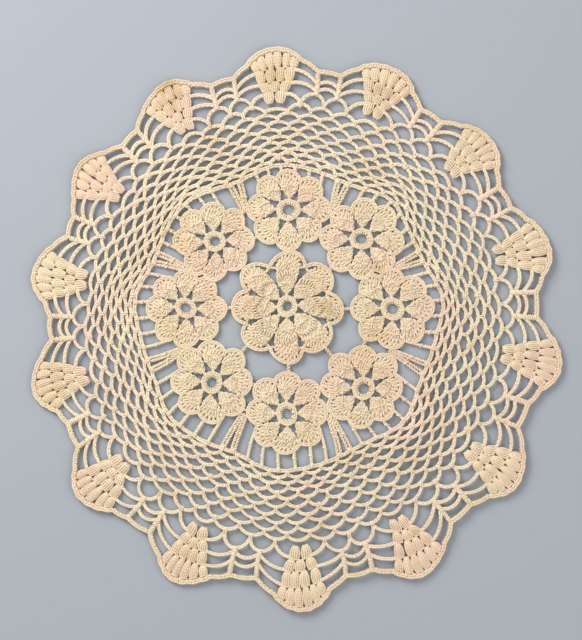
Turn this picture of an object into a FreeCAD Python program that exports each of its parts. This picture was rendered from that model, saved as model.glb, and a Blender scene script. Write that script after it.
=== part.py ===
"""A round hand-crocheted lace doily, laid flat, in millimetres.

The lace lies on z = 0. It is drawn about its centre flower: headings are in degrees,
clockwise from +Y, and distances are from that flower's middle. From the centre out: a
centre flower, a ring of eight small flowers, a round of tall stitches, a net of chain
loops, fourteen fans with chain arches between them, and a border. Each flower part,
net round and fan is a piece of its own. At the end everything is moved so that the
origin is the middle of the whole outline, on the surface that the lace lies on.
"""
import FreeCAD, Part
import math
import os

from FreeCAD import Vector

# ---- thread and stitch sizes ----
CHAIN_WIDTH = 1.9
CHAIN_THICKNESS = 1.4
STITCH_THICKNESS = 2.0
BORDER_WIDTH = 2.7
POST_WIDTH = 1.5
TWIN_POST_WIDTH = 2.5
JOIN_WIDTH = 2.2

# ---- flowers ----
HUB_HOLE_RADIUS = 2.0
HUB_RADIUS = 4.4
PETAL_NECK = 0.95
PETALS = 8
CENTRE_PETAL = {"root": 7.0, "root_half": 2.6, "belly": 14.0, "belly_half": 5.2,
                "tip_radius": 5.1, "tip": 23.8, "crown": 24.6, "dip": 19.4}
RING_PETAL = {"root": 6.8, "root_half": 2.4, "belly": 11.4, "belly_half": 4.15, "tip_radius": 4.15,
              "tip": 15.55, "crown": 16.5, "dip": 13.17}
FLOWER_CROWDING = 1.07              # flowers fill the room they have and push into each other this much
LARGEST_FLOWER = 1.09               # up to this size
FLOWER_HEADINGS = (1, 48, 91, 137, 180, 225, 269, 312)
FLOWER_DISTANCES = (43.2, 44.9, 46.7, 49.0, 47.2, 47.4, 44.9, 43.5)

# ---- tall stitches and the net ----
NET_START = 66.2                    # mean distance of the chain that the net starts on
LAY_LONG = 0.075                    # how much further out the lace lies below its centre
LAY_SIDE = 0.011                    # and how much further on its right
FLOWER_RIPPLE = 1.8                 # the chain stands out over each flower
POST_OFFSETS = (-14.5, -9.0, -3.0, 3.0, 9.0, 14.5)
TWIN_SPREAD_TOP = 2.1
TWIN_SPREAD_FOOT = 0.8
POST_REACH = 17.0                   # longer than any post: posts are trimmed at the flowers
NET_ROUNDS = 9
NET_OPENING = 1.2                   # rounds get taller outwards by this power
LOOPS_PER_FAN = 4
START_RISE = 0.5                    # height of the small arcs of the start chain
FIRST_RISE = 1.2                    # extra height of the first net round
KNOT_RISE = 1.3                     # a knot sits this far above the crown that it is worked into

# ---- fans, arches and border ----
FANS = 14
FIRST_FAN = -3.0                    # heading of the first fan
FAN_SWAY = 2.5                      # degrees: fans are further apart above the centre flower than below it
FAN_REACH = 121.5                   # mean distance of the border over a fan
REACH_LONG = 0.08                   # how much further out the border lies below the centre flower
REACH_SIDE = 0.03                   # how much further on its right
REACH_OVAL = 0.028                  # and how much longer than round the lace is
FAN_BASE = 0.775                    # share of the reach where a fan starts
VALLEY = 0.918                      # share of the mean reach where the border dips
FAN_ROWS = ((0.0, 3.9), (0.22, 4.9), (0.41, 7.4), (0.66, 9.4))     # share of height, half width
FAN_SHOULDER = (0.76, 11.4)
FAN_ROW_SAG = 1.3
FAN_FOCUS = 17.0                    # the stitches of a fan spread from this far below its base
FAN_SLOTS = ((1, 0.0, 0.45, 0.85), (2, 9.0, 0.55, 0.95), (3, 9.5, 0.35, 0.95), (5, 7.0, 0.15, 0.75))
SLOT_HALF_WIDTH = 0.55
SLOT_DROP = 0.06                    # how much lower each slot out from the middle is, as a share
ARCH_LEVELS = (0.36, 0.56, 0.77)    # share of the gap's depth
LADDER_HALF_GAP = 2.9
LADDER_WIDTH = 2.6
SMALLEST_KNOT = 1.0                 # mm2: what is left of a stacked knot below this is dropped
ARCH_SAG = 1.5


def at(heading, distance):
    """Point at a heading and a distance from the origin."""
    angle = math.radians(heading)
    return Vector(distance * math.sin(angle), distance * math.cos(angle), 0)


def toward(origin, heading, distance):
    return origin + at(heading, distance)


def unit(vector):
    return vector * (1 / vector.Length)


def circle(a, b, c):
    """Centre and radius of the circle through three points."""
    curve = Part.Arc(a, b, c).toShape().Curve
    return curve.Center, curve.Radius


def on_circle(centre, radius, aim):
    return centre + unit(aim - centre) * radius


def outward_middle(a, b, sag):
    """Middle of a-b, pushed by sag away from the origin."""
    middle = (a + b) * 0.5
    across = unit(Vector(a.y - b.y, b.x - a.x, 0))
    if across.dot(middle) < 0:
        across = across * -1
    return middle + across * sag


def arc_band(a, b, c, half):
    """Flat face of a chain that follows the arc from a over b to c."""
    centre, radius = circle(a, b, c)
    outer = [on_circle(centre, radius + half, point) for point in (a, b, c)]
    inner = [on_circle(centre, radius - half, point) for point in (a, b, c)]
    return Part.Face(Part.Wire([
        Part.Arc(*outer).toShape(), Part.makeLine(outer[2], inner[2]),
        Part.Arc(*inner[::-1]).toShape(), Part.makeLine(inner[0], outer[0])]))


def disc(centre, radius):
    return Part.Face(Part.Wire(Part.makeCircle(radius, centre)))


def strand(knots, crowns, width):
    """Flat face of a chain that runs from knot to knot in arcs over the crowns."""
    pieces = [disc(knot, width / 2) for knot in knots]
    for i, crown in enumerate(crowns):
        pieces.append(arc_band(knots[i], crown, knots[(i + 1) % len(knots)], width / 2))
    solids = [piece.extrude(Vector(0, 0, CHAIN_THICKNESS)) for piece in pieces]
    joined = solids[0].multiFuse(solids[1:]).removeSplitter()
    return largest([face for face in joined.Faces if face.BoundBox.ZMax < CHAIN_THICKNESS / 2])


def bar(a, b, width):
    """Flat face of a straight stitch from a to b."""
    side = unit(Vector(a.y - b.y, b.x - a.x, 0)) * (width / 2)
    return Part.Face(Part.makePolygon([a + side, b + side, b - side, a - side, a + side]))


def trimmed(faces, *others):
    """The faces with everything that the others cover taken off."""
    shape = Part.makeCompound(faces)
    for other in others:
        if shape.Faces and shape.BoundBox.intersect(other.BoundBox):
            shape = shape.cut(other)
    return shape.Faces


def largest(faces):
    return max(faces, key=lambda face: face.Area)


# ---- flowers ----
def hub_ring(hub, scale):
    return disc(hub, HUB_RADIUS * scale).cut(disc(hub, HUB_HOLE_RADIUS * scale)).Faces[0]


def petal(hub, heading, scale, size):
    """A petal that starts narrow on the hub ring and ends in a round tip."""
    along = at(heading, 1)
    across = at(heading + 90, 1)

    def point(distance, side):
        return hub + (along * distance + across * side) * scale

    neck_foot = math.sqrt(HUB_RADIUS ** 2 - PETAL_NECK ** 2)
    tip_centre = size["tip"] - size["tip_radius"]
    right = [point(neck_foot, PETAL_NECK), point(size["root"], size["root_half"]),
             point(size["belly"], size["belly_half"])]
    left = [point(neck_foot, -PETAL_NECK), point(size["root"], -size["root_half"]),
            point(size["belly"], -size["belly_half"])]
    edges = [Part.makeLine(right[0], right[1]), Part.makeLine(left[1], left[0]),
             Part.Arc(left[0], point(HUB_RADIUS, 0), right[0]).toShape()]
    if tip_centre - size["belly"] > 1:
        shoulder = (point(tip_centre, size["tip_radius"]), point(tip_centre, -size["tip_radius"]))
        edges += [Part.makeLine(right[2], shoulder[0]), Part.makeLine(shoulder[1], left[2])]
    else:
        shoulder = (right[2], left[2])
    edges += [Part.makeLine(right[1], right[2]), Part.makeLine(left[2], left[1])]
    edges.append(Part.Arc(shoulder[0], point(size["tip"], 0), shoulder[1]).toShape())
    return Part.Face(Part.Wire(Part.__sortEdges__(edges)))


def flower(hub, headings, scale, size):
    """Hub ring, petals and chain edging of one flower, as flat faces."""
    crowns = [toward(hub, heading, size["crown"] * scale) for heading in headings]
    turns = [(headings[(i + 1) % PETALS] - headings[i]) % 360 for i in range(PETALS)]
    dips = [toward(hub, headings[i] + turns[i] / 2, size["dip"] * scale) for i in range(PETALS)]
    edging = strand([dips[-1]] + dips[:-1], crowns, CHAIN_WIDTH * scale)
    petals = [largest(trimmed([petal(hub, heading, scale, size)], edging)) for heading in headings]
    return {"ring": [hub_ring(hub, scale)], "petals": petals, "edging": [edging]}


def flower_nodes(name, pieces):
    return {name + "_ring": (pieces["ring"], STITCH_THICKNESS),
            name + "_petals": (pieces["petals"], STITCH_THICKNESS),
            name + "_edging": (pieces["edging"], CHAIN_THICKNESS)}


def flower_outline(pieces):
    return Part.makeCompound(pieces["petals"] + pieces["edging"])


# ---- how the hand-made lace lies ----
def net_start(heading):
    """Distance of the chain that the net starts on."""
    angle = math.radians(heading)
    lay = 1 - LAY_LONG * math.cos(angle) + LAY_SIDE * math.sin(angle)
    return NET_START * lay + FLOWER_RIPPLE * math.cos(PETALS * angle)


def fan_heading(index):
    return FIRST_FAN + 360 * index / FANS + FAN_SWAY * math.sin(2 * math.pi * index / FANS)


def fan_reach(heading):
    """Distance of the border's outer edge over a fan."""
    angle = math.radians(heading)
    lay = REACH_SIDE * math.sin(angle) - REACH_LONG * math.cos(angle)
    return FAN_REACH * (1 + lay + REACH_OVAL * math.cos(2 * angle))


FAN_HEADINGS = [fan_heading(index) for index in range(FANS)]
FAN_REACHES = [fan_reach(heading) for heading in FAN_HEADINGS]


def between_fans(values, place, turn=0.0):
    """A fan measure at a place counted in fans, eased from one fan to the next."""
    index = math.floor(place)
    share = place - index
    lap, first = divmod(index, len(values))
    next_lap, second = divmod(index + 1, len(values))
    start = values[first] + turn * lap
    end = values[second] + turn * next_lap
    return start + (end - start) * share


def heading_at(place):
    return between_fans(FAN_HEADINGS, place, 360.0)


def net_end(place):
    return FAN_BASE * between_fans(FAN_REACHES, place)


def net_distance(place, share):
    """Distance of a net crown, from share 0 at the start chain to share 1 at the fans."""
    start = net_start(heading_at(place)) + FIRST_RISE
    return start + (net_end(place) - start) * share


def valley_distance(fan):
    return VALLEY * (FAN_REACHES[fan] + FAN_REACHES[(fan + 1) % FANS]) / 2 - BORDER_WIDTH / 2


# ---- tall stitches ----
def tall_stitches():
    """Posts from the flowers out to the start chain, and a pair over each join."""
    posts = []
    for i, heading in enumerate(FLOWER_HEADINGS):
        turn = (FLOWER_HEADINGS[(i + 1) % PETALS] - heading) % 360
        valley = heading + turn / 2
        stitches = [(heading + offset, heading + offset, POST_WIDTH) for offset in POST_OFFSETS]
        stitches += [(valley + side * TWIN_SPREAD_TOP, valley + side * TWIN_SPREAD_FOOT, TWIN_POST_WIDTH)
                     for side in (-1, 1)]
        for top, foot, width in stitches:
            distance = net_start(top)
            posts.append((top, bar(at(top, distance), at(foot, distance - POST_REACH), width)))
    return posts


def outermost(faces):
    return max(faces, key=lambda face: face.CenterOfMass.Length)


# ---- fans ----
class Fan:
    """One fan in its own frame: across its width and out along its heading."""

    def __init__(self, index):
        self.heading = FAN_HEADINGS[index]
        self.base = FAN_BASE * FAN_REACHES[index] + CHAIN_WIDTH / 2
        self.height = FAN_REACHES[index] - BORDER_WIDTH - self.base
        shoulder = self.point(FAN_SHOULDER[1], FAN_SHOULDER[0] * self.height)
        other = self.point(-FAN_SHOULDER[1], FAN_SHOULDER[0] * self.height)
        self.dome = circle(shoulder, self.point(0, self.height), other)

    def point(self, side, out):
        return at(self.heading, self.base + out) + at(self.heading + 90, side)

    def edge(self, row):
        """Left end, top and right end of the curved line below a row."""
        share, half = FAN_ROWS[row]
        out = share * self.height
        return self.point(-half, out), self.point(0, out + FAN_ROW_SAG), self.point(half, out)

    def side(self, row, right):
        return self.edge(row)[2 if right else 0]

    def slot(self, angle, start, end):
        """A narrow opening between two clusters of stitches."""
        def spot(out, aside):
            reach = FAN_FOCUS + out
            turn = math.radians(angle)
            side = reach * math.sin(turn) + aside * math.cos(turn)
            return self.point(side, reach * math.cos(turn) - aside * math.sin(turn) - FAN_FOCUS)
        middle = (start + 2 * end) / 3
        return Part.Face(Part.Wire([
            Part.Arc(spot(start, 0), spot(middle, SLOT_HALF_WIDTH), spot(end, 0)).toShape(),
            Part.Arc(spot(end, 0), spot(middle, -SLOT_HALF_WIDTH), spot(start, 0)).toShape()]))

    def rows(self):
        """The four rows of the fan, each one closed flat face with its slots."""
        faces = []
        for row, (count, spread, low, high) in enumerate(FAN_SLOTS):
            left, middle, right = self.edge(row)
            edges = [Part.Arc(left, middle, right).toShape()]
            if row + 1 < len(FAN_ROWS):
                top_left, top_middle, top_right = self.edge(row + 1)
                edges.append(Part.Arc(top_left, top_middle, top_right).toShape())
                rise = FAN_ROWS[row + 1][0] - FAN_ROWS[row][0]
            else:
                top_left = self.point(-FAN_SHOULDER[1], FAN_SHOULDER[0] * self.height)
                top_right = self.point(FAN_SHOULDER[1], FAN_SHOULDER[0] * self.height)
                edges.append(Part.Arc(top_left, self.point(0, self.height), top_right).toShape())
                rise = 1 - FAN_ROWS[row][0]
            edges += [Part.makeLine(left, top_left), Part.makeLine(right, top_right)]
            face = Part.Face(Part.Wire(Part.__sortEdges__(edges)))
            for i in range(count):
                angle = (i - (count - 1) / 2) * spread
                drop = 1 - SLOT_DROP * abs(i - (count - 1) / 2)
                start = (FAN_ROWS[row][0] + rise * low) * self.height * drop
                end = (FAN_ROWS[row][0] + rise * high) * self.height * drop
                face = face.cut(self.slot(angle, start, end))
            faces.append(largest(face.Faces))
        return faces


# ---- the chain arches between two fans ----
def arch_knots(fans, index, level):
    """Knots of one arch chain, from the side of one fan to the side of the next."""
    left, right = fans[index], fans[(index + 1) % len(fans)]
    start = left.side(level + 1, True)
    end = right.side(level + 1, False)
    if level == 0:
        places = [index + (i + 1) / LOOPS_PER_FAN for i in range(LOOPS_PER_FAN - 1)]
        inner = [at(heading_at(p), net_distance(p, 1.0) + CHAIN_WIDTH / 2) for p in places]
    else:
        middle = heading_at(index + 0.5)
        share = ARCH_LEVELS[level - 1]
        foot = net_end(index + 0.5)
        distance = foot + (valley_distance(index) - foot) * share + CHAIN_WIDTH / 2
        inner = [at(middle + side * LADDER_HALF_GAP, distance) for side in (-1, 1)]
    return [start] + inner + [end]


def arches(fans, level):
    """One round of open chains between the fans."""
    faces = []
    for index in range(len(fans)):
        knots = arch_knots(fans, index, level)
        foot = net_end(index + 0.5)
        crown_distance = foot + (valley_distance(index) - foot) * ARCH_LEVELS[level]
        crowns = []
        for i, (a, b) in enumerate(zip(knots, knots[1:])):
            if i in (0, len(knots) - 2):
                crowns.append(outward_middle(a, b, ARCH_SAG))
            else:
                crowns.append(unit(a + b) * crown_distance)
        faces.append(strand(knots, crowns, CHAIN_WIDTH))
    return faces


def border_line(fans):
    """Knots and crowns of the border chain, over every fan and valley."""
    knots, crowns = [], []
    half = BORDER_WIDTH / 2
    for index, fan in enumerate(fans):
        centre, radius = fan.dome
        for side in (-1, 1):
            shoulder = fan.point(side * FAN_SHOULDER[1], FAN_SHOULDER[0] * fan.height)
            knots.append(on_circle(centre, radius + half, shoulder))
        crowns.append(on_circle(centre, radius + half, fan.point(0, fan.height)))
        middle = heading_at(index + 0.5)
        feet = [at(middle + side * LADDER_HALF_GAP, valley_distance(index)) for side in (-1, 1)]
        following = fans[(index + 1) % len(fans)]
        next_centre, next_radius = following.dome
        next_shoulder = following.point(-FAN_SHOULDER[1], FAN_SHOULDER[0] * following.height)
        landing = on_circle(next_centre, next_radius + half, next_shoulder)
        crowns.append(outward_middle(knots[-1], feet[0], ARCH_SAG / 2))
        crowns.append(outward_middle(feet[0], feet[1], ARCH_SAG / 2))
        crowns.append(outward_middle(feet[1], landing, ARCH_SAG / 2))
        knots += feet
    return knots, crowns


# ---- the whole lace: each maker returns its nodes as {name: (flat faces, thickness)} ----
def make_flowers():
    """The nine flowers and the stitches that join them, and what the posts stand on."""
    centre = flower(Vector(0, 0, 0), FLOWER_HEADINGS, 1.0, CENTRE_PETAL)
    hubs = [at(heading, distance) for heading, distance in zip(FLOWER_HEADINGS, FLOWER_DISTANCES)]
    reach = RING_PETAL["belly"] * math.cos(math.pi / PETALS) + RING_PETAL["tip_radius"] + CHAIN_WIDTH
    ring = []
    for i, hub in enumerate(hubs):
        nearest = min((hubs[i - 1] - hub).Length, (hubs[(i + 1) % PETALS] - hub).Length)
        headings = [FLOWER_HEADINGS[i] + 360 * p / PETALS for p in range(PETALS)]
        ring.append(flower(hub, headings, min(FLOWER_CROWDING * nearest / 2 / reach, LARGEST_FLOWER), RING_PETAL))
    centre_cover = flower_outline(centre)
    for i, pieces in enumerate(ring):
        covers = [centre_cover] + [flower_outline(ring[k]) for k in (i - 1, i + 1) if 0 <= k < i]
        if i == PETALS - 1:
            covers.append(flower_outline(ring[0]))
        for part in ("petals", "edging"):
            pieces[part] = [largest(trimmed([face], *covers)) for face in pieces[part]]
    joins = []
    join_reach = RING_PETAL["crown"] - CHAIN_WIDTH
    for i, hub in enumerate(hubs):
        joins.append(bar(at(FLOWER_HEADINGS[i], CENTRE_PETAL["crown"]), hub, JOIN_WIDTH))
        follower = (i + 1) % PETALS
        for turn in (90, 135):
            here = toward(hub, FLOWER_HEADINGS[i] + turn, join_reach)
            there = toward(hubs[follower], FLOWER_HEADINGS[follower] - turn, join_reach)
            joins.append(bar(here, there, JOIN_WIDTH))
    outlines = [flower_outline(pieces) for pieces in [centre] + ring]
    rings = [face for pieces in ring for face in pieces["ring"]]
    cut_joins = []
    for join in joins:
        rest = trimmed([join], *outlines, *rings)
        middle = join.CenterOfMass
        if rest:
            cut_joins.append(min(rest, key=lambda face: (face.CenterOfMass - middle).Length))
    nodes = flower_nodes("centre_flower", centre)
    for i, pieces in enumerate(ring):
        nodes.update(flower_nodes("flower_%d" % (i + 1), pieces))
    nodes["joining_stitches"] = (cut_joins, CHAIN_THICKNESS)
    return nodes, outlines + [Part.makeCompound(cut_joins)]


def make_start(flower_outlines):
    """The tall stitches on the flowers and the chain across their tops."""
    posts = tall_stitches()
    headings = sorted(heading % 360 for heading, post in posts)
    knots = [at(heading, net_start(heading)) for heading in headings]
    crowns = []
    for i, heading in enumerate(headings):
        turn = (headings[(i + 1) % len(headings)] - heading) % 360
        middle = heading + turn / 2
        crowns.append(at(middle, net_start(middle) + START_RISE))
    start_chain = strand(knots, crowns, CHAIN_WIDTH)
    faces = [outermost(trimmed([post], start_chain, *flower_outlines)) for heading, post in posts]
    return {"tall_stitches": (faces, CHAIN_THICKNESS), "start_chain": ([start_chain], CHAIN_THICKNESS)}


def make_net(below):
    """The net rounds, each worked into the crowns of the one below."""
    nodes = {}
    count = LOOPS_PER_FAN * FANS
    half_loop = 0.5 / LOOPS_PER_FAN
    for number in range(1, NET_ROUNDS + 1):
        share = (number / NET_ROUNDS) ** NET_OPENING
        share_below = ((number - 1) / NET_ROUNDS) ** NET_OPENING
        rise = KNOT_RISE + (START_RISE - FIRST_RISE if number == 1 else 0)
        shift = 0.0 if (NET_ROUNDS - number) % 2 == 0 else 0.5
        places = [(i + shift) / LOOPS_PER_FAN for i in range(count)]
        crowns = [at(heading_at(p), net_distance(p, share)) for p in places]
        knots = [at(heading_at(p - half_loop), net_distance(p - half_loop, share_below) + rise)
                 for p in places]
        below = largest(trimmed([strand(knots, crowns, CHAIN_WIDTH)], below))
        nodes["net_round_%d" % number] = ([below], CHAIN_THICKNESS)
    return nodes, below


def make_edge(last_round):
    """The fans, the arches between them, the stacked knots and the border."""
    nodes = {}
    fans = [Fan(index) for index in range(FANS)]
    border = strand(*border_line(fans), BORDER_WIDTH)
    nodes["border_chain"] = ([border], STITCH_THICKNESS)
    fan_faces = []
    for index, fan in enumerate(fans):
        rows = [largest(trimmed([row], last_round, border)) for row in fan.rows()]
        nodes["fan_%02d" % (index + 1)] = (rows, STITCH_THICKNESS)
        fan_faces += rows
    fan_cover = Part.makeCompound(fan_faces)
    levels = []
    below = last_round
    for level in range(len(ARCH_LEVELS)):
        faces = [largest(trimmed([face], fan_cover, below)) for face in arches(fans, level)]
        nodes["arch_round_%d" % (level + 1)] = (faces, CHAIN_THICKNESS)
        below = Part.makeCompound(faces)
        levels.append(below)
    posts = []
    for index in range(len(fans)):
        middle = heading_at(index + 0.5)
        foot = net_end(index + 0.5)
        start = foot + (valley_distance(index) - foot) * ARCH_LEVELS[0]
        for side in (-1, 1):
            heading = middle + side * LADDER_HALF_GAP
            post = bar(at(heading, start), at(heading, valley_distance(index)), LADDER_WIDTH)
            rest = trimmed([post], border, fan_cover, *levels)
            posts += [face for face in rest if face.Area > SMALLEST_KNOT]
    nodes["ladder_knots"] = (posts, CHAIN_THICKNESS)
    return nodes


nodes, outlines = make_flowers()
nodes.update(make_start(outlines))
net, last_round = make_net(nodes["start_chain"][0][0])
nodes.update(net)
nodes.update(make_edge(last_round))

outline = nodes["border_chain"][0][0].BoundBox
to_origin = Vector(-outline.Center.x, -outline.Center.y, 0)
os.makedirs("parts", exist_ok=True)
for name, (faces, thickness) in nodes.items():
    solids = [face.extrude(Vector(0, 0, thickness)) for face in faces]
    shape = solids[0] if len(solids) == 1 else Part.makeCompound(solids)
    shape.translate(to_origin)
    shape.exportStep("parts/" + name + ".step")
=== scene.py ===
"""The looks of a round hand-crocheted cotton doily, worked stitch by stitch over its CAD frame.

Every node of the frame is replaced by thread: chains for the net, arches, edgings and border,
twisted tall stitches for the petals, posts and fans, and small wraps for the knots.
Lengths are in millimetres and headings in degrees, clockwise from +Y, until a mesh is made.
"""

import math

import bpy
import numpy as np
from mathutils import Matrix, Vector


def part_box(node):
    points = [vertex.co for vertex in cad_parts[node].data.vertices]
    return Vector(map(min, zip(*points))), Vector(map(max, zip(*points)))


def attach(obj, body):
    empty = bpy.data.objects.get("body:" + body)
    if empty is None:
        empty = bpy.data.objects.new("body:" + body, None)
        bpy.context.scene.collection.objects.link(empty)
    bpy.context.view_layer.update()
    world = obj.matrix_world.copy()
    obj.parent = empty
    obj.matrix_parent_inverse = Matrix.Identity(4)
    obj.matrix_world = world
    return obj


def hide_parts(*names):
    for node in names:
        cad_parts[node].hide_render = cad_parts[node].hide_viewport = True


MM = 0.001
RNG = np.random.default_rng(41)

# ---- dimensions of the CAD part, under the same names ----
CHAIN_WIDTH = 1.9
BORDER_WIDTH = 2.7
HUB_HOLE_RADIUS = 2.0
HUB_RADIUS = 4.4
PETALS = 8
CENTRE_PETAL = {"root": 7.0, "root_half": 2.6, "belly": 14.0, "belly_half": 5.2,
                "tip_radius": 5.1, "tip": 23.8, "crown": 24.6, "dip": 19.4}
RING_PETAL = {"root": 6.8, "root_half": 2.4, "belly": 11.4, "belly_half": 4.15,
              "tip_radius": 4.15, "tip": 15.55, "crown": 16.5, "dip": 13.17}
NET_START = 66.2
LAY_LONG = 0.075
LAY_SIDE = 0.011
FLOWER_RIPPLE = 1.8
POST_OFFSETS = (-14.5, -9, -3, 3, 9, 14.5)
TWIN_SPREAD_TOP = 2.1
TWIN_SPREAD_FOOT = 0.8
NET_ROUNDS = 9
NET_OPENING = 1.2
LOOPS_PER_FAN = 4
START_RISE = 0.5
FIRST_RISE = 1.2
KNOT_RISE = 1.3
FANS = 14
FAN_BASE = 0.775
VALLEY = 0.918
FAN_ROWS = ((0.0, 3.9), (0.22, 4.9), (0.41, 7.4), (0.66, 9.4))
FAN_SHOULDER = (0.76, 11.4)
FAN_ROW_SAG = 1.3
ARCH_LEVELS = (0.36, 0.56, 0.77)
LADDER_HALF_GAP = 2.9
LADDER_WIDTH = 2.6
ARCH_SAG = 1.5

# ---- the thread and its stitches ----
THREAD_RADIUS = 0.42
CHAIN_THREAD_RADIUS = 0.47
SIDES = 6
CHAIN_STITCH = 2.2
RINGS_PER_STITCH = 12
CHAIN_HEIGHT = 1.0                  # middle of a chain's thread above the table
CHAIN_SWING = 0.85                  # how far the thread loops forward and back, in stitches
CHAIN_TILT = 0.2                    # how far each loop tips
CHAIN_CROSSING = 0.3                # and how far the thread rises where it crosses itself
CHAIN_UNEVENNESS = 0.08
NET_CHAIN_WIDTH = 1.7
NET_SHAKE = 0.35                    # random shift of a net loop's crown
KNOT_DEPTH = 0.4                    # how far a knot's middle lies below its foot
TWIST_RADIUS = 0.36
TURN_LENGTH = 3.0                   # of a tall stitch, along which its threads go round once
PETAL_TURN_LENGTH = 5.0
CLUSTERS = (2, 3, 4, 6)             # in the rows of a fan
CLUSTER_STRANDS = (-0.5, -0.25, 0.0, 0.25, 0.5)
CLUSTER_STRAND_RADIUS = 0.46
CLUSTER_HEIGHT = 0.7
CLUSTER_PUFF = 1.1
CLUSTER_FOOT = 0.3                  # widths of a cluster, as shares of the room that it has
CLUSTER_BELLY = (0.85, 0.8)
CLUSTER_TOP = 0.6
CLUSTER_HEAD = 0.37
DOME_TUCK = 0.7                     # how far a fan's last row reaches under the border
ARCH_TUCK = 1.2                     # how far an arch's end reaches over a fan's side
ARM_FOOT = 17.0                     # distance that the centre flower's arms point to
UP = np.array([0.0, 0.0, 1.0])

# ---- the scene, in metres and watts ----
TABLE_HALF = 4.0
TABLE_DROP = 0.0001
LIGHTS = (("key", (-0.55, 0.6, 0.6), 0.5, 9.8), ("fill", (0.7, -0.4, 0.8), 1.0, 4.3))
VIEW_MIDDLE = (-0.0024, 0.004)
VIEW_HEIGHT = 0.2848                # of the table, seen from top to bottom of the picture


# ---- places on the lace ----
def centre_of(node):
    low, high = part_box(node)
    return np.array([(low.x + high.x) / 2, (low.y + high.y) / 2]) / MM


def direction(heading):
    angle = np.radians(heading)
    return np.stack([np.sin(angle), np.cos(angle)], axis=-1)


def at(heading, distance, origin=None):
    """Point at a heading and a distance from the middle of the centre flower."""
    return (HUB if origin is None else origin) + direction(heading) * distance


def heading_of(point):
    return math.degrees(math.atan2(point[0] - HUB[0], point[1] - HUB[1]))


def unit(vector):
    return vector / np.linalg.norm(vector)


def net_start(heading):
    angle = math.radians(heading)
    lay = 1 - LAY_LONG * math.cos(angle) + LAY_SIDE * math.sin(angle)
    return NET_START * lay + FLOWER_RIPPLE * math.cos(PETALS * angle)


def between_fans(values, place, turn=0.0):
    """A fan measure at a place counted in fans, eased from one fan to the next."""
    index = math.floor(place)
    lap, first = divmod(index, FANS)
    next_lap, second = divmod(index + 1, FANS)
    start = values[first] + turn * lap
    end = values[second] + turn * next_lap
    return start + (end - start) * (place - index)


def heading_at(place):
    return between_fans(FAN_HEADINGS, place, 360.0)


def net_end(place):
    return FAN_BASE * between_fans(FAN_REACHES, place)


def net_distance(place, share):
    start = net_start(heading_at(place)) + FIRST_RISE
    return start + (net_end(place) - start) * share


def valley_distance(fan):
    return VALLEY * (FAN_REACHES[fan] + FAN_REACHES[(fan + 1) % FANS]) / 2 - BORDER_WIDTH / 2


def outward_middle(a, b, sag):
    middle = (a + b) / 2
    across = unit(np.array([a[1] - b[1], b[0] - a[0]]))
    return middle + across * (sag if across @ (middle - HUB) > 0 else -sag)


def lift(points):
    """How far the lace stands off the table, in gentle waves, with the border freest."""
    rim = 120
    x, y = points[..., 0], points[..., 1]
    reach = np.hypot(x - HUB[0], y - HUB[1]) / rim
    wave = 0.25 * (1 + np.sin(x / 21 + 1.3) * np.cos(y / 17 - 0.4))
    return wave + 0.35 * reach ** 4 * (1 + np.sin(x / 9 + y / 13))


def pull(points):
    """The slight unevenness of hand work: how far each place is pulled out of the drawn pattern."""
    x, y = points[..., 0], points[..., 1]
    return np.stack([0.4 * np.sin(y / 4.1 + 1.5 * np.sin(x / 13)) + 0.3 * np.sin(x / 6.3 - y / 8.7),
                     0.4 * np.sin(x / 4.7 + 1.5 * np.sin(y / 15)) + 0.3 * np.sin(y / 5.9 + x / 9.1)], axis=-1)


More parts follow.
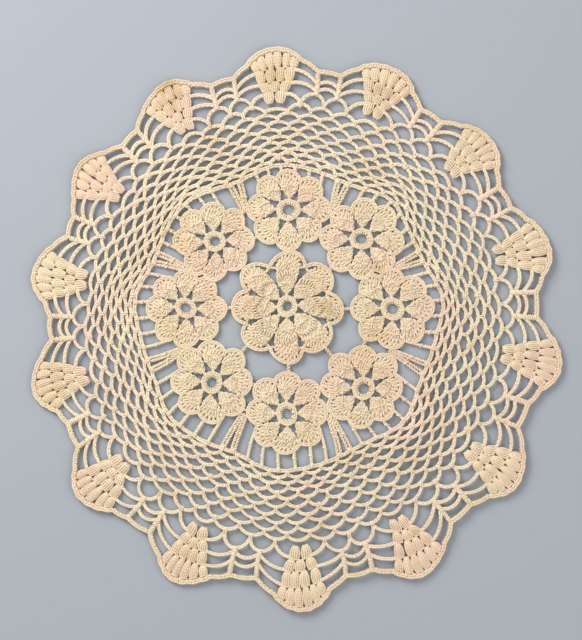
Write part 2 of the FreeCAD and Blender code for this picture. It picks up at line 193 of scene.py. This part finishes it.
# ---- thread ----
class Thread:
    """Collects round strands and turns them into one mesh."""

    def __init__(self):
        self.points, self.faces, self.maps, self.shades = [], [], [], []
        self.count = 0

    def strand(self, path, closed=False, up=UP, radius=THREAD_RADIUS, shade=None):
        """A round strand along a path of points, capped at its ends."""
        rings = len(path)
        if closed:
            run = np.roll(path, -1, axis=0) - np.roll(path, 1, axis=0)
        else:
            run = np.gradient(path, axis=0)
        side = np.cross(run, up)
        side /= np.maximum(np.linalg.norm(side, axis=1), 1e-9)[:, None]
        top = np.cross(side, run)
        top /= np.maximum(np.linalg.norm(top, axis=1), 1e-9)[:, None]
        turn = np.arange(SIDES) * 2 * math.pi / SIDES
        outward = (np.cos(turn)[None, :, None] * side[:, None, :]
                   + np.sin(turn)[None, :, None] * top[:, None, :])
        ring = np.reshape(radius, (-1, 1, 1)) * outward
        self.points.append((path[:, None, :] + ring).reshape(-1, 3))
        row = np.arange(rings if closed else rings - 1)[:, None]
        column = np.arange(SIDES)[None, :]
        after, beside = (row + 1) % rings, (column + 1) % SIDES
        quads = np.stack([row * SIDES + column, row * SIDES + beside,
                          after * SIDES + beside, after * SIDES + column], axis=-1).reshape(-1, 4)
        length = np.concatenate([[0], np.cumsum(np.linalg.norm(np.diff(path, axis=0), axis=1))])
        along = length[row] + 0 * column
        ahead = np.where(row + 1 < rings, length[after], length[-1] + length[1]) + 0 * column
        left, right = (column + 0 * row) / SIDES, (column + 1 + 0 * row) / SIDES
        maps = np.stack([along, left, along, right, ahead, right, ahead, left], axis=-1).reshape(-1, 4, 2)
        if not closed:
            caps = [[first, first + 2 * k + 1, first + 2 * k + 2, first + 2 * k + 3][::order]
                    for first, order in ((0, -1), ((rings - 1) * SIDES, 1)) for k in range(SIDES // 2 - 1)]
            quads = np.concatenate([quads, caps])
            maps = np.concatenate([maps, np.zeros((len(caps), 4, 2))])
        self.faces.append(quads + self.count)
        self.maps.append(maps)
        shade = RNG.normal(0, 1) if shade is None else shade
        self.shades.append(np.repeat(shade, SIDES) if np.ndim(shade) else np.full(rings * SIDES, shade))
        self.count += rings * SIDES

    def piece(self, name, nodes, slot):
        """Makes the mesh piece that stands for the CAD nodes."""
        points = np.concatenate(self.points)
        points[:, 2] += lift(points)
        stain = stain_at(points)
        points[:, :2] += pull(points)
        faces = np.concatenate(self.faces)
        mesh = bpy.data.meshes.new(name)
        mesh.from_pydata((points * MM).tolist(), [], faces.tolist())
        mesh.shade_smooth()
        mesh.uv_layers.new(name="thread").data.foreach_set("uv", np.concatenate(self.maps).ravel())
        for label, values in (("shade", np.concatenate(self.shades)), ("stain", stain)):
            mesh.attributes.new(label, "FLOAT", "POINT").data.foreach_set("value", values.astype(np.float32))
        obj = bpy.data.objects.new(name, mesh)
        bpy.context.scene.collection.objects.link(obj)
        mesh.materials.append(COTTON[slot])
        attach(obj, "root")
        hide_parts(*nodes)


def spaced(line, step, closed):
    """The line with points at even steps, its corners eased."""
    if closed:
        line = np.concatenate([line, line[:1]])
    length = np.concatenate([[0], np.cumsum(np.linalg.norm(np.diff(line, axis=0), axis=1))])
    places = np.linspace(0, length[-1], max(4, int(length[-1] / step)), endpoint=not closed)
    even = np.stack([np.interp(places, length, line[:, i]) for i in (0, 1)], axis=-1)
    easing_passes = 4
    for _ in range(easing_passes):
        eased = (np.roll(even, 1, axis=0) + 2 * even + np.roll(even, -1, axis=0)) / 4
        if not closed:
            eased[0], eased[-1] = even[0], even[-1]
        even = eased
    return even


def bow(a, crown, b, count=10):
    """Points on the arc from a over the crown towards b, without b itself."""
    t = np.arange(count) / count
    (ax, ay), (bx, by) = a - crown, b - crown
    area = ax * by - ay * bx
    if abs(area) < 0.01:
        return a + (b - a) * t[:, None]
    far_a, far_b = ax * ax + ay * ay, bx * bx + by * by
    centre = crown + np.array([by * far_a - ay * far_b, ax * far_b - bx * far_a]) / (2 * area)
    start = math.atan2(a[1] - centre[1], a[0] - centre[0])
    turn = (math.atan2(b[1] - centre[1], b[0] - centre[0]) - start) % (2 * math.pi)
    if area > 0:
        turn -= 2 * math.pi
    angle = start + turn * t
    return centre + np.linalg.norm(a - centre) * np.stack([np.cos(angle), np.sin(angle)], axis=-1)


def bows(knots, crowns, closed=True):
    """The line from knot to knot over the crowns."""
    ends = knots[1:] + knots[:1] if closed else knots[1:]
    line = [bow(a, crown, b) for a, crown, b in zip(knots, crowns, ends)]
    return np.concatenate(line + ([] if closed else [knots[-1][None, :]]))


def chain(thread, line, closed=False, width=CHAIN_WIDTH, stitch=CHAIN_STITCH, rise=0.0):
    """A crocheted chain: one thread that loops forward and back along the line."""
    line = spaced(line, 0.4, closed)
    if closed:
        line = np.concatenate([line, line[:1]])
    length = np.concatenate([[0], np.cumsum(np.linalg.norm(np.diff(line, axis=0), axis=1))])
    run = np.gradient(line, axis=0)
    if closed:
        run[0] = run[-1] = (run[0] + run[-1]) / 2
    run /= np.linalg.norm(run, axis=1)[:, None]
    count = max(2, round(length[-1] / stitch))
    pitch = length[-1] / count
    t = np.arange(count * RINGS_PER_STITCH + (0 if closed else 1)) / RINGS_PER_STITCH
    phase = 2 * math.pi * t
    along = pitch * (t - CHAIN_SWING * np.cos(phase))
    along = along % length[-1] if closed else np.clip(along, 0, length[-1])
    uneven = 1 + CHAIN_UNEVENNESS * np.interp(t, np.arange(count + 1), RNG.normal(0, 1, count + 1))
    across = (width / 2 - CHAIN_THREAD_RADIUS) * np.sin(phase) * uneven
    middle = np.stack([np.interp(along, length, line[:, i]) for i in (0, 1)], axis=-1)
    ahead = np.stack([np.interp(along, length, run[:, i]) for i in (0, 1)], axis=-1)
    path = np.empty((len(t), 3))
    path[:, 0] = middle[:, 0] - ahead[:, 1] * across
    path[:, 1] = middle[:, 1] + ahead[:, 0] * across
    path[:, 2] = CHAIN_HEIGHT + rise - CHAIN_TILT * np.cos(phase) - CHAIN_CROSSING * np.cos(2 * phase)
    shade = np.interp(t, np.arange(count + 1), RNG.normal(0, 1, count + 1))
    thread.strand(path, closed, radius=CHAIN_THREAD_RADIUS, shade=shade)


def wrap(thread, centre, along, half_length, half_height, slant=0.0, rise=0.0, rings=10):
    """A closed loop of thread that stands upright on the direction along."""
    turn = np.arange(rings) * 2 * math.pi / rings
    across = np.array([-along[1], along[0]])
    path = np.empty((rings, 3))
    path[:, :2] = centre + np.cos(turn)[:, None] * (along * half_length + across * slant)
    path[:, 2] = 0.45 + half_height + rise + half_height * np.sin(turn)
    thread.strand(path, closed=True, up=np.array([across[0], across[1], 0.0]))


def knot(thread, centre, outward, size=1.0, rise=0.0):
    """A single crochet stitch: two wraps side by side over the chain below."""
    across = np.array([-outward[1], outward[0]])
    for side in (-0.43, 0.43):
        wrap(thread, centre + across * side * size, outward, 1.1 * size, 0.62, 0.25 * side, rise)


def tall_stitch(thread, line, strands=2, radius=TWIST_RADIUS, rise=0.0, puff=0.0, flare=(1, 1),
                wrapped=True, turn_length=TURN_LENGTH):
    """Threads twisted round each other along the line, with a yarn over round the middle."""
    line = spaced(line, 0.5, False)
    length = np.linalg.norm(np.diff(line, axis=0), axis=1).sum()
    rings = max(9, int(length * 2.4))
    s = np.linspace(0, 1, rings)
    middle = np.stack([np.interp(s, np.linspace(0, 1, len(line)), line[:, i]) for i in (0, 1)], axis=-1)
    run = np.gradient(middle, axis=0)
    run /= np.linalg.norm(run, axis=1)[:, None]
    start = RNG.uniform(0, 2 * math.pi)
    shade = RNG.normal(0, 1)
    size = np.interp(s, (0, 1), flare)
    for strand in range(strands):
        turn = start + 2 * math.pi * (s * length / turn_length + strand / strands)
        across = radius * size * np.cos(turn)
        path = np.empty((rings, 3))
        path[:, 0] = middle[:, 0] - run[:, 1] * across
        path[:, 1] = middle[:, 1] + run[:, 0] * across
        path[:, 2] = 0.5 + radius * (1 + np.sin(turn)) + rise + puff * np.sin(math.pi * s)
        thread.strand(path, radius=THREAD_RADIUS * size, shade=shade + RNG.normal(0, 0.3))
    if wrapped:
        place = int(rings * RNG.uniform(0.42, 0.58))
        ahead = run[place]
        across = np.array([-ahead[1], ahead[0]])
        wrap(thread, middle[place], across, radius + 0.28, radius + 0.2, -0.45, rise + puff)


# ---- flowers ----
def flower(name, hub, scale, headings, size, across_petal):
    """Ring, petals and edging of one flower."""
    ring, petals, edging = Thread(), Thread(), Thread()
    middle = (HUB_HOLE_RADIUS + HUB_RADIUS) / 2 * scale
    wraps = 18
    for i in range(wraps):
        outward = direction(360 * i / wraps + RNG.normal(0, 2))
        wrap(ring, hub + outward * middle, outward, 0.85 * scale, 0.6, 0.3)
    turns = np.linspace(0, 360, 24, endpoint=False)
    chain(ring, at(turns, HUB_RADIUS * scale - 0.5, hub), closed=True, stitch=1.9, rise=0.35)

    tip_centre = size["tip"] - size["tip_radius"]
    inset, root_inset = (0.8, 0.9) if size is CENTRE_PETAL else (0.6, 1.2)
    for heading in headings:
        out, aside = direction(heading), direction(heading + 90)

        def spot(distance, side):
            return hub + (out * distance + aside * side) * scale

        spoke = np.linspace(spot(HUB_RADIUS - 0.4, 0), spot(size["root"], 0), 4)
        tall_stitch(petals, spoke, 3, 0.45, wrapped=False)
        for i in range(across_petal):
            u = 2 * i / (across_petal - 1) - 1
            end_turn = math.radians(84 * u)
            start_share = 0.5 * (size["root"] + HUB_RADIUS)
            line = spaced(np.array([
                spot(start_share, 0.6 * u), spot(size["root"], (size["root_half"] - root_inset) * u),
                spot((size["root"] + size["belly"]) / 2, (size["belly_half"] * 0.88 - inset) * u),
                spot(size["belly"], (size["belly_half"] - inset) * u),
                spot(tip_centre + size["tip_radius"] * math.cos(end_turn) * 0.5,
                     (size["tip_radius"] - inset) * (u + math.sin(end_turn)) / 2),
                spot(tip_centre + (size["tip_radius"] + 0.4) * math.cos(end_turn),
                     (size["tip_radius"] + 0.2) * math.sin(end_turn))]), 0.5, False)
            if size is CENTRE_PETAL:
                cut = int(len(line) * RNG.uniform(0.47, 0.53))
                tall_stitch(petals, line[:cut + 1], puff=0.3, flare=(0.8, 1), turn_length=PETAL_TURN_LENGTH)
                tall_stitch(petals, line[cut:], rise=0.1, puff=0.3, flare=(1, 1.3),
                            turn_length=PETAL_TURN_LENGTH)
                wrap(petals, line[cut], unit(line[cut + 1] - line[cut - 1]), 0.9, 0.75, 0.3, 0.1)
            else:
                tall_stitch(petals, line, puff=0.5, flare=(0.8, 1.3), turn_length=PETAL_TURN_LENGTH)
    knots, crowns = [], []
    for i, heading in enumerate(headings):
        back = (heading - headings[i - 1]) % 360
        knots.append(at(heading - back / 2, size["dip"] * scale, hub))
        crowns.append(at(heading, size["crown"] * scale, hub))
    chain(edging, bows(knots, crowns), closed=True, rise=0.15)
    for i, dip in enumerate(knots):
        if size is CENTRE_PETAL:
            for heading in (headings[i - 1], headings[i]):
                inward = at(heading, ARM_FOOT, hub) - dip
                tall_stitch(edging, np.linspace(dip, dip + inward * 0.5, 4), wrapped=False)
        else:
            knot(edging, dip - unit(dip - hub) * 0.5, unit(dip - hub), rise=0.1)
    ring.piece(name + "_ring_stitches", [name + "_ring"], "flower_cotton")
    petals.piece(name + "_petal_stitches", [name + "_petals"], "flower_cotton")
    edging.piece(name + "_edging_chain", [name + "_edging"], "flower_cotton")


def joining_stitches():
    """Short stitches from the centre flower to the ring flowers and between those."""
    thread = Thread()
    reach = RING_PETAL["crown"] - CHAIN_WIDTH
    for i, (hub, heading) in enumerate(zip(FLOWER_HUBS, FLOWER_HEADINGS)):
        inner = at(heading, CENTRE_PETAL["crown"] - 0.6)
        outer = hub + unit(inner - hub) * (reach * FLOWER_SCALES[i] + 0.8)
        tall_stitch(thread, np.linspace(inner, outer, 5), strands=2, radius=0.5, wrapped=False)
        following = (i + 1) % PETALS
        for turn in (90, 135):
            here = at(heading + turn, reach + 0.8, hub)
            there = at(FLOWER_HEADINGS[following] - turn, reach + 0.8, FLOWER_HUBS[following])
            if np.linalg.norm(there - here) < 1.5:
                middle, run = (here + there) / 2, unit(here - there)
                here, there = middle + run * 0.9, middle - run * 0.9
            tall_stitch(thread, np.linspace(here, there, 5), strands=2, radius=0.5, wrapped=False)
    thread.piece("joins", ["joining_stitches"], "flower_cotton")


# ---- net ----
def start_of_net():
    """The tall stitches on the flowers, and the chain across their tops."""
    posts, start, tops = Thread(), Thread(), []
    for i, heading in enumerate(FLOWER_HEADINGS):
        gap = (FLOWER_HEADINGS[(i + 1) % PETALS] - heading) % 360
        valley = heading + gap / 2
        for offset in POST_OFFSETS:
            top = heading + offset
            tops.append(top)
            foot = post_foot(top, 1.2)
            tall_stitch(posts, np.linspace(at(top, foot), at(top, net_start(top)), 4), strands=3, radius=0.42)
        for side in (-1, 1):
            top, foot = valley + side * TWIN_SPREAD_TOP, valley + side * TWIN_SPREAD_FOOT
            tops.append(top)
            for part in (-0.8, 0.8):
                low = at(foot, post_foot(valley + side * 1.5, 1.2)) + direction(foot + 90) * part * 0.7
                high = at(top, net_start(top)) + direction(top + 90) * part
                tall_stitch(posts, np.linspace(low, high, 6))
    tops = sorted(top % 360 for top in tops)
    knots = [at(top, net_start(top)) for top in tops]
    crowns = []
    for top, following in zip(tops, tops[1:] + tops[:1]):
        middle = top + (following - top) % 360 / 2
        crowns.append(at(middle, net_start(middle) + START_RISE))
    chain(start, bows(knots, crowns), closed=True)
    for top, place in zip(tops, knots):
        knot(start, place, direction(top), 0.9, rise=0.1)
    posts.piece("tall_stitch_posts", ["tall_stitches"], "net_cotton")
    start.piece("start_chain_stitches", ["start_chain"], "net_cotton")


def post_foot(heading, window):
    """Distance at which the CAD part's tall stitch at a heading stands on a flower."""
    turned = (POST_ENDS[:, 0] - heading + 180) % 360 - 180
    return POST_ENDS[np.abs(turned) < window, 1].min() - 0.5


def net_round(thread, number):
    """One round of the net, worked into the crowns of the one below."""
    count = LOOPS_PER_FAN * FANS
    half_loop = 0.5 / LOOPS_PER_FAN
    share = (number / NET_ROUNDS) ** NET_OPENING
    share_below = ((number - 1) / NET_ROUNDS) ** NET_OPENING
    rise = KNOT_RISE + (START_RISE - FIRST_RISE if number == 1 else 0)
    shift = 0.0 if (NET_ROUNDS - number) % 2 == 0 else 0.5
    places = [(i + shift) / LOOPS_PER_FAN for i in range(count)]
    crowns = [at(heading_at(p), net_distance(p, share)) + RNG.normal(0, NET_SHAKE, 2) for p in places]
    feet = [p - half_loop for p in places]
    knots = [at(heading_at(p), net_distance(p, share_below) + rise) for p in feet]
    chain(thread, bows(knots, crowns), closed=True, width=NET_CHAIN_WIDTH)
    for place, foot in zip(knots, feet):
        outward = direction(heading_at(foot))
        knot(thread, place - outward * rise * KNOT_DEPTH, outward, rise=0.12)


# ---- fans, arches and border ----
class Fan:
    """One fan in its own frame, measured from its CAD node."""

    def __init__(self, index):
        self.node = "fan_%02d" % (index + 1)
        self.heading, self.reach = FAN_HEADINGS[index], FAN_REACHES[index]
        self.base = FAN_BASE * self.reach + CHAIN_WIDTH / 2
        self.height = self.reach - BORDER_WIDTH - self.base

    def point(self, side, out):
        return HUB + direction(self.heading) * (self.base + out) + direction(self.heading + 90) * side

    def side(self, row, right):
        share, half = FAN_ROWS[row]
        half -= ARCH_TUCK
        return self.point(half if right else -half, share * self.height)

    def edge(self, row):
        """The line below a row, or the dome over the last one."""
        if row < len(FAN_ROWS):
            share, half = FAN_ROWS[row]
            out, sag = share * self.height, FAN_ROW_SAG
        else:
            share, half = FAN_SHOULDER
            out, sag = share * self.height + DOME_TUCK, self.height * (1 - share)
        ends = self.point(-half, out), self.point(half, out)
        return np.concatenate([bow(ends[0], self.point(0, out + sag), ends[1], 12), ends[1][None, :]])

    def stitches(self):
        thread = Thread()
        for row, clusters in enumerate(CLUSTERS):
            low, high = spaced(self.edge(row), 0.3, False), spaced(self.edge(row + 1), 0.3, False)

            def spot(line, share):
                place = np.clip(share, 0, 1) * (len(line) - 1)
                return np.array([np.interp(place, np.arange(len(line)), line[:, i]) for i in (0, 1)])

            for i in range(clusters):
                middle = (i + 0.5 + RNG.normal(0, 0.04)) / clusters
                for side in CLUSTER_STRANDS:
                    foot = spot(low, middle + side * CLUSTER_FOOT / clusters)
                    top = spot(high, middle + side * CLUSTER_TOP / clusters)
                    below, above = [spot(edge, middle + side * width / clusters)
                                    for edge, width in zip((low, high), CLUSTER_BELLY)]
                    belly = (below + above) / 2
                    line = np.concatenate([bow(foot, belly, top), top[None, :]])
                    path = np.column_stack([line, np.zeros(len(line))])
                    arch = np.sin(np.linspace(0.15, 0.85, len(line)) * math.pi)
                    path[:, 2] = CLUSTER_HEIGHT + CLUSTER_PUFF * (1 - 2 * side ** 2) * arch
                    thread.strand(path, radius=CLUSTER_STRAND_RADIUS)
                head = spot(high, middle)
                beside = spot(high, middle + CLUSTER_HEAD / clusters) - head
                wrap(thread, head, unit(beside), np.linalg.norm(beside), 0.4, 0.2, 0.1)
        thread.piece(self.node + "_stitches", [self.node], "fan_cotton")


def arches():
    """The chains between the fans, and the knots stacked between their loops."""
    levels = [Thread() for _ in ARCH_LEVELS]
    ladder = Thread()
    for index in range(FANS):
        left, right = Fan(index), Fan((index + 1) % FANS)
        foot = net_end(index + 0.5)
        valley = valley_distance(index)
        middle = heading_at(index + 0.5)
        crown_below = None
        for level, share in enumerate(ARCH_LEVELS):
            crown_distance = foot + (valley - foot) * share
            start, end = left.side(level + 1, True), right.side(level + 1, False)
            if level == 0:
                places = [index + (i + 1) / LOOPS_PER_FAN for i in range(LOOPS_PER_FAN - 1)]
                inner = [at(heading_at(p), net_distance(p, 1.0) + CHAIN_WIDTH / 2) for p in places]
            else:
                distance = crown_below + CHAIN_WIDTH / 2
                inner = [at(middle + side * LADDER_HALF_GAP, distance) for side in (-1, 1)]
            knots = [start] + inner + [end]
            crowns = []
            for i, (a, b) in enumerate(zip(knots, knots[1:])):
                if i in (0, len(knots) - 2):
                    crowns.append(outward_middle(a, b, ARCH_SAG))
                else:
                    crowns.append(HUB + unit((a + b) / 2 - HUB) * crown_distance)
            chain(levels[level], bows(knots, crowns, closed=False), width=NET_CHAIN_WIDTH)
            for place in inner:
                outward = unit(place - HUB)
                knot(levels[level], place - outward * KNOT_DEPTH, outward, rise=0.12)
            crown_below = crown_distance
        for side in (-1, 1):
            outward = direction(middle + side * LADDER_HALF_GAP)
            stops = [foot + (valley - foot) * share for share in ARCH_LEVELS] + [valley]
            for low, high in zip(stops, stops[1:]):
                for distance in np.arange(low, high, 0.88):
                    across = direction(middle + side * LADDER_HALF_GAP + 90)
                    wrap(ladder, HUB + outward * distance, across, LADDER_WIDTH / 2 - THREAD_RADIUS, 0.62,
                         RNG.normal(0.35, 0.1), rise=0.15)
    for level, thread in enumerate(levels):
        name = "arch_round_%d" % (level + 1)
        thread.piece(name + "_chain", [name], "net_cotton")
    ladder.piece("ladder_stitches", ["ladder_knots"], "net_cotton")


def border():
    """The dense last round, with a small scallop over every cluster of the fans."""
    thread = Thread()
    line = []
    for index in range(FANS):
        fan = Fan(index)
        dome = spaced(fan.edge(len(FAN_ROWS)), 0.3, False)
        outward = unit(fan.point(0, 1) - fan.point(0, 0))
        share = np.linspace(0, 1, len(dome))
        push = 0.3 + BORDER_WIDTH / 2 - DOME_TUCK + 0.55 * np.abs(np.sin(share * math.pi * CLUSTERS[-1]))
        run = np.gradient(dome, axis=0)
        run /= np.linalg.norm(run, axis=1)[:, None]
        out = np.stack([-run[:, 1], run[:, 0]], axis=-1)
        out *= np.sign(out[len(out) // 2] @ outward)
        line.append(dome + out * push[:, None])
        middle = heading_at(index + 0.5)
        feet = [at(middle + side * LADDER_HALF_GAP, valley_distance(index)) for side in (-1, 1)]
        following = Fan((index + 1) % FANS)
        landing = following.point(-FAN_SHOULDER[1], FAN_SHOULDER[0] * following.height)
        landing = landing + unit(landing - HUB) * BORDER_WIDTH / 2
        begin = line[-1][-1]
        line.append(bow(begin, outward_middle(begin, feet[0], ARCH_SAG / 2), feet[0])[1:])
        line.append(bow(feet[0], outward_middle(feet[0], feet[1], ARCH_SAG / 2), feet[1]))
        line.append(bow(feet[1], outward_middle(feet[1], landing, ARCH_SAG / 2), landing))
    line = spaced(np.concatenate(line), 0.35, True)
    run = np.roll(line, -1, axis=0) - np.roll(line, 1, axis=0)
    run /= np.linalg.norm(run, axis=1)[:, None]
    out = np.stack([run[:, 1], -run[:, 0]], axis=-1)
    out *= np.sign((out * (line - HUB)).sum(axis=1))[:, None]
    chain(thread, line + 0.3 * out, closed=True, width=2.1, stitch=1.9, rise=0.35)
    steps = int(len(line) * 0.35 / 1.15)
    for place in np.linspace(0, len(line), steps, endpoint=False).astype(int):
        wrap(thread, line[place], out[place], 0.72, 0.6, RNG.normal(0.3, 0.1))
    thread.piece("border_stitches", ["border_chain"], "border_cotton")


# ---- cotton ----
def stain_at(points):
    """Strength of the old ochre stains at each point."""
    total = np.zeros(len(points))
    for centre, radius, strength in STAINS:
        distance = np.linalg.norm(points[:, :2] - centre, axis=1)
        total = np.maximum(total, strength * np.exp(-(distance / radius) ** 2))
    return total


def cotton(name, colour):
    """Matt mercerised cotton thread: plied, a little uneven in colour, stained here and there."""
    material = bpy.data.materials.new(name)
    material.use_nodes = True
    tree = material.node_tree
    nodes, links = tree.nodes, tree.links
    shader = nodes["Principled BSDF"]

    def node(kind, **values):
        made = nodes.new("ShaderNode" + kind)
        for key, value in values.items():
            setattr(made, key, value)
        return made

    def maths(operation, a, b):
        made = node("Math", operation=operation)
        for socket, value in zip(made.inputs, (a, b)):
            if isinstance(value, (int, float)):
                socket.default_value = value
            else:
                links.new(value, socket)
        return made.outputs[0]

    def noise(scale, detail):
        made = node("TexNoise")
        made.inputs["Scale"].default_value = scale
        made.inputs["Detail"].default_value = detail
        links.new(place.outputs["Object"], made.inputs["Vector"])
        return made.outputs["Fac"]

    def mix(factor, a, b, blend="MIX"):
        made = node("Mix", data_type="RGBA", blend_type=blend)
        for socket, value in ((made.inputs[0], factor), (made.inputs[6], a), (made.inputs[7], b)):
            if hasattr(value, "is_output"):
                links.new(value, socket)
            else:
                socket.default_value = value
        return made.outputs[2]

    def ramp(value, low, high, top=1.0):
        made = node("MapRange")
        links.new(value, made.inputs["Value"])
        for key, number in (("From Min", low), ("From Max", high), ("To Max", top)):
            made.inputs[key].default_value = number
        return made.outputs["Result"]

    plies_round, ply_length = 3, 1.25
    old_stain = (0.52, 0.33, 0.09, 1)
    place = node("TexCoord")
    blush = tuple(c * f for c, f in zip(colour, (1.02, 0.93, 1.0))) + (1,)
    aged = tuple(c * f for c, f in zip(colour, (0.93, 0.84, 0.68))) + (1,)
    shade = node("Attribute", attribute_name="shade").outputs["Fac"]
    stain = node("Attribute", attribute_name="stain").outputs["Fac"]
    hue = mix(ramp(noise(26, 2), 0.45, 0.62, 0.8), tuple(colour) + (1,), blush)
    hue = mix(ramp(noise(44, 4), 0.52, 0.75, 0.7), hue, aged)
    hue = mix(maths("MULTIPLY", stain, ramp(noise(160, 3), 0.3, 0.6)), hue, old_stain)
    brightness = maths("ADD", maths("MULTIPLY", shade, 0.035), 1.0)
    hue = mix(1.0, hue, brightness, "MULTIPLY")
    links.new(hue, shader.inputs["Base Color"])

    thread_map = node("SeparateXYZ")
    links.new(node("UVMap", uv_map="thread").outputs[0], thread_map.inputs[0])
    turns = maths("ADD", maths("MULTIPLY", thread_map.outputs[0], 2 * math.pi / ply_length),
                  maths("MULTIPLY", thread_map.outputs[1], 2 * math.pi * plies_round))
    plies = maths("ABSOLUTE", maths("SINE", maths("MULTIPLY", turns, 0.5), 0), 0)
    fibre = maths("MULTIPLY", noise(4000, 2), 0.2)
    bump = node("Bump")
    bump.inputs["Strength"].default_value = 0.7
    bump.inputs["Distance"].default_value = 0.00022
    links.new(maths("ADD", plies, fibre), bump.inputs["Height"])
    links.new(bump.outputs[0], shader.inputs["Normal"])

    shader.inputs["Roughness"].default_value = 0.82
    shader.inputs["Specular IOR Level"].default_value = 0.3
    shader.inputs["Sheen Weight"].default_value = 0.25
    shader.inputs["Sheen Roughness"].default_value = 0.5
    return material


# ---- table, lights, camera ----
def surroundings():
    mesh = bpy.data.meshes.new("table")
    corners = [(x * TABLE_HALF, y * TABLE_HALF, 0) for x, y in ((-1, -1), (1, -1), (1, 1), (-1, 1))]
    mesh.from_pydata(corners, [], [(0, 1, 2, 3)])
    table = bpy.data.objects.new("table", mesh)
    table.location.z = -TABLE_DROP
    bpy.context.scene.collection.objects.link(table)
    paint = bpy.data.materials.new("table_paint")
    paint.use_nodes = True
    shader = paint.node_tree.nodes["Principled BSDF"]
    shader.inputs["Base Color"].default_value = (0.36, 0.39, 0.43, 1)
    shader.inputs["Roughness"].default_value = 1.0
    shader.inputs["Specular IOR Level"].default_value = 0.0
    mesh.materials.append(paint)

    for name, spot, size, power in LIGHTS:
        light = bpy.data.lights.new(name, "AREA")
        light.energy, light.size = power, size
        lamp = bpy.data.objects.new(name, light)
        lamp.location = spot
        lamp.rotation_euler = lamp.location.to_track_quat("Z", "Y").to_euler()
        bpy.context.scene.collection.objects.link(lamp)
    world = bpy.data.worlds.new("studio")
    world.use_nodes = True
    world.node_tree.nodes["Background"].inputs["Color"].default_value = (1.0, 0.97, 0.93, 1)
    world.node_tree.nodes["Background"].inputs["Strength"].default_value = 0.54
    bpy.context.scene.world = world

    bpy.context.scene.view_settings.view_transform = "Standard"
    lens = bpy.data.cameras.new("camera")
    lens.lens = 135
    camera = bpy.data.objects.new("camera", lens)
    camera.location = (*VIEW_MIDDLE, VIEW_HEIGHT * lens.lens / lens.sensor_width)
    bpy.context.scene.collection.objects.link(camera)
    bpy.context.scene.camera = camera


# ---- the whole lace ----
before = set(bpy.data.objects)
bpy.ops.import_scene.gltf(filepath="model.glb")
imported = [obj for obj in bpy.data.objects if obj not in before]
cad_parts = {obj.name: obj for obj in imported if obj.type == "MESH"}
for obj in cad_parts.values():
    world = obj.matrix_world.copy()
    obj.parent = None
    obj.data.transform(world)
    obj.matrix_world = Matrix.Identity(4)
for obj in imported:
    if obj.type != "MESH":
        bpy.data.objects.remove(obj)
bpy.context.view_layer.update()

HUB = centre_of("centre_flower_ring")
FLOWER_HUBS = [centre_of("flower_%d_ring" % (i + 1)) for i in range(PETALS)]
FLOWER_HEADINGS = [heading_of(hub) % 360 for hub in FLOWER_HUBS]
FLOWER_SCALES = []
for i in range(PETALS):
    low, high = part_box("flower_%d_ring" % (i + 1))
    FLOWER_SCALES.append((high.x - low.x) / MM / (2 * HUB_RADIUS))
FAN_HEADINGS, FAN_REACHES = [], []
for i in range(FANS):
    around = np.array([v.co[:2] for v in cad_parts["fan_%02d" % (i + 1)].data.vertices]) / MM - HUB
    middle = heading_of(around.mean(axis=0) + HUB)
    headings = (np.degrees(np.arctan2(around[:, 0], around[:, 1])) - middle + 180) % 360 - 180
    middle += (headings.min() + headings.max()) / 2
    if FAN_HEADINGS:
        middle = FAN_HEADINGS[-1] + (middle - FAN_HEADINGS[-1]) % 360
    FAN_HEADINGS.append(middle)
    FAN_REACHES.append(np.linalg.norm(around, axis=1).max() + BORDER_WIDTH)

ends = np.array([v.co[:2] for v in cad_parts["tall_stitches"].data.vertices]) / MM - HUB
POST_ENDS = np.stack([np.degrees(np.arctan2(ends[:, 0], ends[:, 1])), np.linalg.norm(ends, axis=1)], axis=-1)
# place, radius and strength of each stain
STAINS = [(at(FAN_HEADINGS[13], 108.5), 7.0, 0.9), (at(FAN_HEADINGS[0], 103), 5.0, 0.5),
          (at(FAN_HEADINGS[1], 104), 5.0, 0.55), (at(FLOWER_HEADINGS[2], 20), 6.0, 0.5),
          (at((FLOWER_HEADINGS[1] + FLOWER_HEADINGS[2]) / 2, 42), 5.0, 0.5)]
COLOURS = {"flower_cotton": (0.80, 0.67, 0.47), "net_cotton": (0.82, 0.70, 0.51),
           "fan_cotton": (0.80, 0.66, 0.46), "border_cotton": (0.79, 0.65, 0.45)}
COTTON = {slot: cotton(slot, colour) for slot, colour in COLOURS.items()}

flower("centre_flower", HUB, 1.0, FLOWER_HEADINGS, CENTRE_PETAL, 9)
for i in range(PETALS):
    headings = [FLOWER_HEADINGS[i] + 360 * p / PETALS for p in range(PETALS)]
    flower("flower_%d" % (i + 1), FLOWER_HUBS[i], FLOWER_SCALES[i], headings, RING_PETAL, 8)
joining_stitches()
start_of_net()
for name, numbers in (("inner_net", range(1, 4)), ("middle_net", range(4, 7)), ("outer_net", range(7, 10))):
    net = Thread()
    for number in numbers:
        net_round(net, number)
    net.piece(name, ["net_round_%d" % number for number in numbers], "net_cotton")
for i in range(FANS):
    Fan(i).stitches()
arches()
border()
surroundings()
